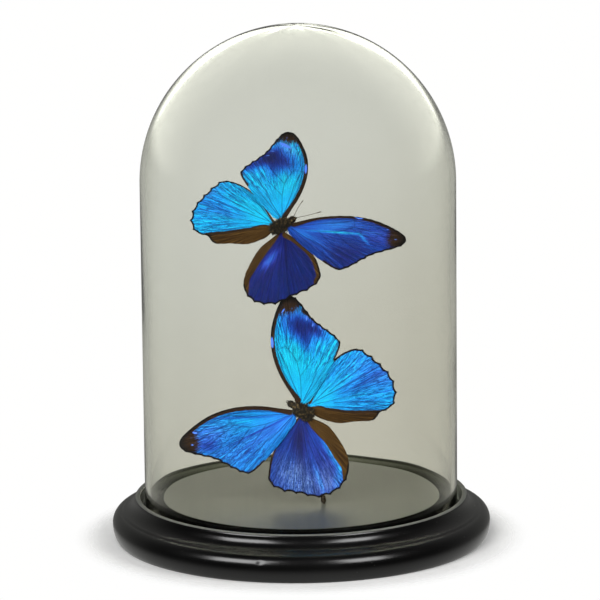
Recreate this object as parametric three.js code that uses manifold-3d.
// Two blue butterflies on a wire under a glass dome, on a turned black base.
// Millimetres, +Z up. The origin is the centre of the base's underside.
import * as THREE from 'three';
import { mergeVertices } from 'three/addons/utils/BufferGeometryUtils.js';
import Module from 'manifold-3d';

const solids = await Module();
solids.setup();

// ---------------------------------------------------------------- driving dimensions

const GAP = 0.3; // clearance kept between pieces that touch

// Turned base
const BASE_R = 104; // widest radius, on the bullnose
const DISC_R = 76.2; // raised disc inside the groove
const DISC_Z = 23.2; // height of the disc's top face
const GROOVE_R = 88.4; // outer wall of the ring groove
const GROOVE_Z = 15; // floor of the groove
const LIP_R = 91.6; // outer side of the bead round the groove
const LIP_Z = 23.6; // top of that bead
const BULLNOSE_Z = 8.8; // height of the widest point
const BULLNOSE_DROP = 10.2; // half height of the ellipse below it, cut off by the floor
const FILLET_R = 98.8; // small step between bullnose and cove
const FILLET_Z = 14.9;
const FILLET_STEP = 0.8;
const WIRE_HOLE_DEPTH = 8;

// Glass dome
const DOME_R = 86; // outside radius
const DOME_WALL = 3;
const DOME_SPRING_Z = 197.9; // where the straight wall turns into the half-round top

// Support wire, from its foot on the disc to its upper end
const WIRE_R = 0.7;
const WIRE_FOOT = new THREE.Vector3(12.5, -22.4, DISC_Z);
const WIRE_END = new THREE.Vector3(-11.6, -8.6, 176.6);
const WIRE_COLLAR_R = 1.45; // the thicker foot, as a bead just above the disc
const WIRE_COLLAR_LOW = 0.6;
const WIRE_COLLAR_HIGH = 4.8;
const WIRE_COLLAR_EDGE = 0.7;
const UPPER_DROP_R = 0.8; // glue on the wire's end
const LOWER_DROP_R = 1.4; // glue round the wire behind the lower butterfly
const LOWER_DROP_HALF_LENGTH = 2;
const LOWER_DROP_ALONG = 0.31; // its place, as a part of the wire's length

// Insect body, along +Y in the insect's own frame: +X its right side, +Z its back
const THORAX_R = 3.3;
const THORAX_HALF_LENGTH = 5.6;
const HEAD_R = 1.9;
const HEAD_Y = 6.8;
const STUMP_R = 2.4; // short hairy stump where the abdomen was taken off
const STUMP_HALF_LENGTH = 2.6;
const STUMP_Y = -5.2;

// Wings: a thin plate each, hinged beside the thorax
const WING_THICKNESS = 0.6;
const FOREWING_ROOT = [3.4, 2.4, 0.6];
const HINDWING_ROOT = [3.6, -2, -1.5];

// Right wing outlines, seen from above: x away from the body, y towards the head
const FOREWING_OUTLINE = [
  [0.5, 3], [5, 13], [11.5, 22.5], [19.5, 30.5], [29, 36.5], [40, 40], [48, 40.6], [51.6, 37.4],
  [51, 32.5], [48.5, 26.5], [45.7, 19.7], [44.3, 12], [43.2, 4.5], [40.5, -0.6],
  [31, -2], [17, -2.3], [3.5, -2],
];

// The hind wing's inner part is folded down beside the body in drying: more of it on the full
// wings, whose inner edge is drawn in, less on the lean ones, where it lies open
const HINDWING_OUTLINES = {
  full: [
    [2, 0.6], [8.7, 2.8], [15.8, 4.6], [22.5, 5.8], [29.2, 5.6], [35.5, 3.6], [40.8, -0.2],
    [42, -6], [41.7, -12.4], [41, -18.6], [39.5, -25], [36.2, -30.5], [31.5, -34.7], [25.8, -35.8],
    [20.7, -33.2], [14.7, -33], [8.5, -26.3], [2.3, -20], [-0.7, -13.4], [-2, -8], [-0.6, -4.6],
  ],
  lean: [
    [2, 1], [8.5, 2.8], [15, 3.4], [21.5, 4], [28.3, 3.4], [34.7, 1.3], [40.6, -1.7], [42.1, -7],
    [41.2, -12.4], [39.1, -17.5], [37.4, -22.8], [35.7, -28], [32, -32.3], [27.3, -35.6],
    [21.5, -37.2], [17.7, -37], [11, -34.9], [5.5, -30.5], [1.3, -24.3], [-1.9, -18], [-3, -14.2],
    [-2.8, -8.5], [-0.8, -4.8],
  ],
};

// Antennae: the left one has lost its tip. Spread is in degrees from the body's axis.
const ANTENNAE = {
  left: { length: 10.5, spread: 24 },
  right: { length: 14.3, spread: 30 },
};
const ANTENNA_BASE = [0.9, 8.9, 0.9];
const ANTENNA_RISE = 12;

// How each insect sits: tilt about X, roll about Y, then a turn in its own wing plane.
// A wing's numbers are degrees of raise, sweep and twist, and how far it stretched in drying.
const INSECTS = {
  upper: {
    at: [-8.8, -12, 175.9],
    tilt: 38.2,
    roll: -1.5,
    turn: -54,
    antennae: true,
    wings: {
      forewing_left: { raise: 3, sweep: 1.5, twist: -1.5, span: 0.96, chord: 1 },
      forewing_right: { raise: 3.5, sweep: 2, twist: 5.5, span: 1.05, chord: 0.98 },
      hindwing_left: { raise: 3, sweep: -6, twist: 5, span: 1.02, chord: 0.93, outline: 'full' },
      hindwing_right: { raise: 3.5, sweep: -3, twist: 17.5, span: 0.97, chord: 1, outline: 'lean' },
    },
  },
  lower: {
    at: [0.7, -23.3, 75.7],
    tilt: 91.2,
    roll: 3,
    turn: 56,
    antennae: false,
    wings: {
      forewing_left: { raise: 3, sweep: 4, twist: 0.5, span: 1, chord: 1.01 },
      forewing_right: { raise: 6, sweep: 3, twist: 6, span: 1, chord: 0.99 },
      hindwing_left: { raise: 3, sweep: -4.5, twist: -7, span: 0.97, chord: 1.02, outline: 'lean' },
      hindwing_right: { raise: 6, sweep: -4.5, twist: -1, span: 1.05, chord: 0.99, outline: 'full' },
    },
  },
};

// Roundness of the faceted surfaces
const BASE_SIDES = 60;
const DOME_SIDES = 48;
const DOME_RINGS = 12;
const BODY_SIDES = 16;
const ROD_SIDES = 12;
const ANTENNA_SIDES = 6;

// ---------------------------------------------------------------- finishes

const finish = (color, roughness, metalness = 0) =>
  new THREE.MeshStandardMaterial({ color, roughness, metalness });

const blackLacquer = finish(0x0c0c0e, 0.25);
const clearGlass = new THREE.MeshStandardMaterial({
  color: 0xe6e8e2, roughness: 0.03, metalness: 0, transparent: true, opacity: 0.25,
});
const steel = finish(0x8d857c, 0.35, 1);
const driedGlue = finish(0xe4ddd0, 0.4);
const blueScales = finish(0x1d86e8, 0.45, 0.2);
const darkHair = finish(0x2b2418, 0.9);

// ---------------------------------------------------------------- small helpers

const radians = THREE.MathUtils.degToRad;

function arc(centreR, centreZ, radiusR, radiusZ, fromDegrees, toDegrees, steps) {
  const points = [];
  for (let step = 0; step <= steps; step += 1) {
    const angle = radians(fromDegrees + ((toDegrees - fromDegrees) * step) / steps);
    const r = centreR + radiusR * Math.cos(angle);
    points.push(new THREE.Vector2(Math.abs(r) < 1e-9 ? 0 : r, centreZ + radiusZ * Math.sin(angle)));
  }
  return points;
}

const point = (r, z) => new THREE.Vector2(r, z);

// A profile of (radius, height) points turned about +Z
function turned(profile, sides) {
  const geometry = new THREE.LatheGeometry(profile, sides);
  geometry.rotateX(Math.PI / 2);
  return geometry;
}

// An egg shape about the origin, its long axis along +Y
function egg(radius, halfLength, sides, rings) {
  return new THREE.LatheGeometry(arc(0, 0, radius, halfLength, -90, 90, rings), sides);
}

function toSolid(geometry) {
  const plain = geometry.clone();
  plain.deleteAttribute('normal');
  plain.deleteAttribute('uv');
  const merged = mergeVertices(plain, 1e-4);
  return new solids.Manifold(new solids.Mesh({
    numProp: 3,
    vertProperties: Float32Array.from(merged.attributes.position.array),
    triVerts: Uint32Array.from(merged.index.array),
  }));
}

function toGeometry(solid) {
  const mesh = solid.getMesh();
  const geometry = new THREE.BufferGeometry();
  geometry.setAttribute('position', new THREE.BufferAttribute(mesh.vertProperties, 3));
  geometry.setIndex(new THREE.BufferAttribute(mesh.triVerts, 1));
  geometry.computeVertexNormals();
  return geometry;
}

function named(name, geometry, material) {
  const mesh = new THREE.Mesh(geometry, material);
  mesh.name = name;
  return mesh;
}

const part = new THREE.Group();

// ---------------------------------------------------------------- turned base

const wireLine = WIRE_END.clone().sub(WIRE_FOOT);
const wireDirection = wireLine.clone().normalize();
const alongWire = new THREE.Quaternion().setFromUnitVectors(new THREE.Vector3(0, 0, 1), wireDirection);
const wireBottom = WIRE_FOOT.clone().addScaledVector(wireDirection, -WIRE_HOLE_DEPTH);

function baseProfile() {
  const beadR = (GROOVE_R + LIP_R) / 2;
  const beadHalfWidth = (LIP_R - GROOVE_R) / 2;
  const beadZ = LIP_Z - beadHalfWidth;
  const bullnoseWidth = BASE_R - FILLET_R;
  const coveFloorZ = FILLET_Z + FILLET_STEP;
  const footAngle = -THREE.MathUtils.radToDeg(Math.asin(BULLNOSE_Z / BULLNOSE_DROP));
  const edge = 0.4;
  return [
    point(0, 0),
    ...arc(FILLET_R, BULLNOSE_Z, bullnoseWidth, BULLNOSE_DROP, footAngle, 0, 5),
    ...arc(FILLET_R, BULLNOSE_Z, bullnoseWidth, FILLET_Z - BULLNOSE_Z, 20, 90, 4),
    ...arc(FILLET_R, beadZ, FILLET_R - LIP_R, beadZ - coveFloorZ, 262, 182, 5),
    ...arc(beadR, beadZ, beadHalfWidth, beadHalfWidth, 10, 180, 6),
    point(GROOVE_R, GROOVE_Z),
    point(DISC_R, GROOVE_Z),
    point(DISC_R, DISC_Z - edge),
    point(DISC_R - edge, DISC_Z),
    point(0, DISC_Z),
  ];
}

function turnedBase() {
  const hole = turned([
    point(0, -WIRE_HOLE_DEPTH - GAP),
    point(WIRE_R + GAP, -WIRE_HOLE_DEPTH - GAP),
    point(WIRE_R + GAP, WIRE_HOLE_DEPTH),
    point(0, WIRE_HOLE_DEPTH),
  ], ROD_SIDES);
  hole.applyQuaternion(alongWire);
  hole.translate(...WIRE_FOOT);
  return toGeometry(toSolid(turned(baseProfile(), BASE_SIDES)).subtract(toSolid(hole)));
}

part.add(named('turned_base', turnedBase(), blackLacquer));

// ---------------------------------------------------------------- glass dome

function glassDome() {
  const inside = DOME_R - DOME_WALL;
  const rimZ = GROOVE_Z + GAP;
  return turned([
    ...arc(0, DOME_SPRING_Z, inside, inside, 90, 0, DOME_RINGS),
    point(inside, rimZ + 1),
    point(inside + 1, rimZ),
    point(DOME_R - 1, rimZ),
    point(DOME_R, rimZ + 1),
    ...arc(0, DOME_SPRING_Z, DOME_R, DOME_R, 0, 90, DOME_RINGS),
  ], DOME_SIDES);
}

part.add(named('glass_dome', glassDome(), clearGlass));

// ---------------------------------------------------------------- wire and glue

function supportWire() {
  const length = wireLine.length() + WIRE_HOLE_DEPTH;
  const collarLow = WIRE_HOLE_DEPTH + WIRE_COLLAR_LOW;
  const collarHigh = WIRE_HOLE_DEPTH + WIRE_COLLAR_HIGH;
  const outline = [
    point(0, 0),
    point(WIRE_R, 0),
    point(WIRE_R, collarLow),
    point(WIRE_COLLAR_R, collarLow + WIRE_COLLAR_EDGE),
    point(WIRE_COLLAR_R, collarHigh - WIRE_COLLAR_EDGE),
    point(WIRE_R, collarHigh),
    point(WIRE_R, length),
    point(0, length),
  ];
  const rod = turned(outline, ROD_SIDES);
  const mesh = named('support_wire', rod, steel);
  mesh.position.copy(wireBottom);
  mesh.quaternion.copy(alongWire);
  return mesh;
}

// A rounded drop that sits on the end of the wire, against the upper thorax
function upperGlueDrop() {
  const drop = named('upper_glue_drop', egg(UPPER_DROP_R, UPPER_DROP_R, ROD_SIDES, 8), driedGlue);
  drop.position.copy(WIRE_END).addScaledVector(wireDirection, UPPER_DROP_R + GAP);
  return drop;
}

// A bead of glue round the wire, behind the lower thorax
function lowerGlueDrop() {
  const hole = WIRE_R + GAP;
  const middle = (LOWER_DROP_R + hole) / 2;
  const halfWall = (LOWER_DROP_R - hole) / 2;
  const ring = turned(arc(middle, 0, halfWall, LOWER_DROP_HALF_LENGTH, -180, 180, 10), ROD_SIDES);
  const drop = named('lower_glue_drop', ring, driedGlue);
  drop.position.copy(WIRE_FOOT).addScaledVector(wireLine, LOWER_DROP_ALONG);
  drop.quaternion.copy(alongWire);
  return drop;
}

part.add(supportWire(), upperGlueDrop(), lowerGlueDrop());

// ---------------------------------------------------------------- butterflies

// Head, thorax and the stump of the abdomen, grown together
function bodyGeometry() {
  const thorax = egg(THORAX_R, THORAX_HALF_LENGTH, BODY_SIDES, 10);
  const head = egg(HEAD_R, HEAD_R, BODY_SIDES, 8);
  head.translate(0, HEAD_Y, 0);
  const stump = egg(STUMP_R, STUMP_HALF_LENGTH, BODY_SIDES, 8);
  stump.translate(0, STUMP_Y, 0);
  return toGeometry(toSolid(thorax).add(toSolid(head)).add(toSolid(stump)));
}

function wingGeometry(outline, side, wing) {
  const edge = outline.map(([x, y]) => new THREE.Vector2(side * x * wing.span, y * wing.chord));
  const shape = new THREE.Shape();
  shape.moveTo(edge[0].x, edge[0].y);
  shape.splineThru(edge.slice(1));
  shape.closePath();
  const geometry = new THREE.ExtrudeGeometry(shape, {
    depth: WING_THICKNESS, bevelEnabled: false, curveSegments: 2,
  });
  geometry.translate(0, 0, -WING_THICKNESS / 2);
  return geometry;
}

function wingMesh(insectName, wingName, wing) {
  const side = wingName.endsWith('left') ? -1 : 1;
  const isForewing = wingName.startsWith('forewing');
  const outline = isForewing ? FOREWING_OUTLINE : HINDWING_OUTLINES[wing.outline];
  const [rootX, rootY, rootZ] = isForewing ? FOREWING_ROOT : HINDWING_ROOT;
  const mesh = named(`${insectName}_${wingName}`, wingGeometry(outline, side, wing), blueScales);
  mesh.position.set(side * rootX, rootY, rootZ);
  mesh.rotation.set(radians(wing.twist), -side * radians(wing.raise), side * radians(wing.sweep), 'YZX');
  return mesh;
}

function antennaMesh(insectName, side) {
  const sideName = side < 0 ? 'left' : 'right';
  const { length, spread } = ANTENNAE[sideName];
  const shaft = new THREE.LatheGeometry([
    point(0, 0), point(0.3, 0.2), point(0.25, length * 0.75),
    point(0.42, length * 0.92), point(0, length),
  ], ANTENNA_SIDES);
  const mesh = named(`${insectName}_antenna_${sideName}`, shaft, darkHair);
  mesh.position.set(side * ANTENNA_BASE[0], ANTENNA_BASE[1], ANTENNA_BASE[2]);
  mesh.rotation.set(radians(ANTENNA_RISE), 0, -side * radians(spread), 'ZXY');
  return mesh;
}

function butterfly(name, insect) {
  const group = new THREE.Group();
  group.position.set(...insect.at);
  group.rotation.set(radians(insect.tilt), radians(insect.roll), radians(insect.turn), 'XYZ');
  group.add(named(`${name}_body`, bodyGeometry(), darkHair));
  for (const [wingName, wing] of Object.entries(insect.wings)) {
    group.add(wingMesh(name, wingName, wing));
  }
  if (insect.antennae) {
    group.add(antennaMesh(name, -1), antennaMesh(name, 1));
  }
  return group;
}

for (const [name, insect] of Object.entries(INSECTS)) {
  part.add(butterfly(name, insect));
}

export default part;
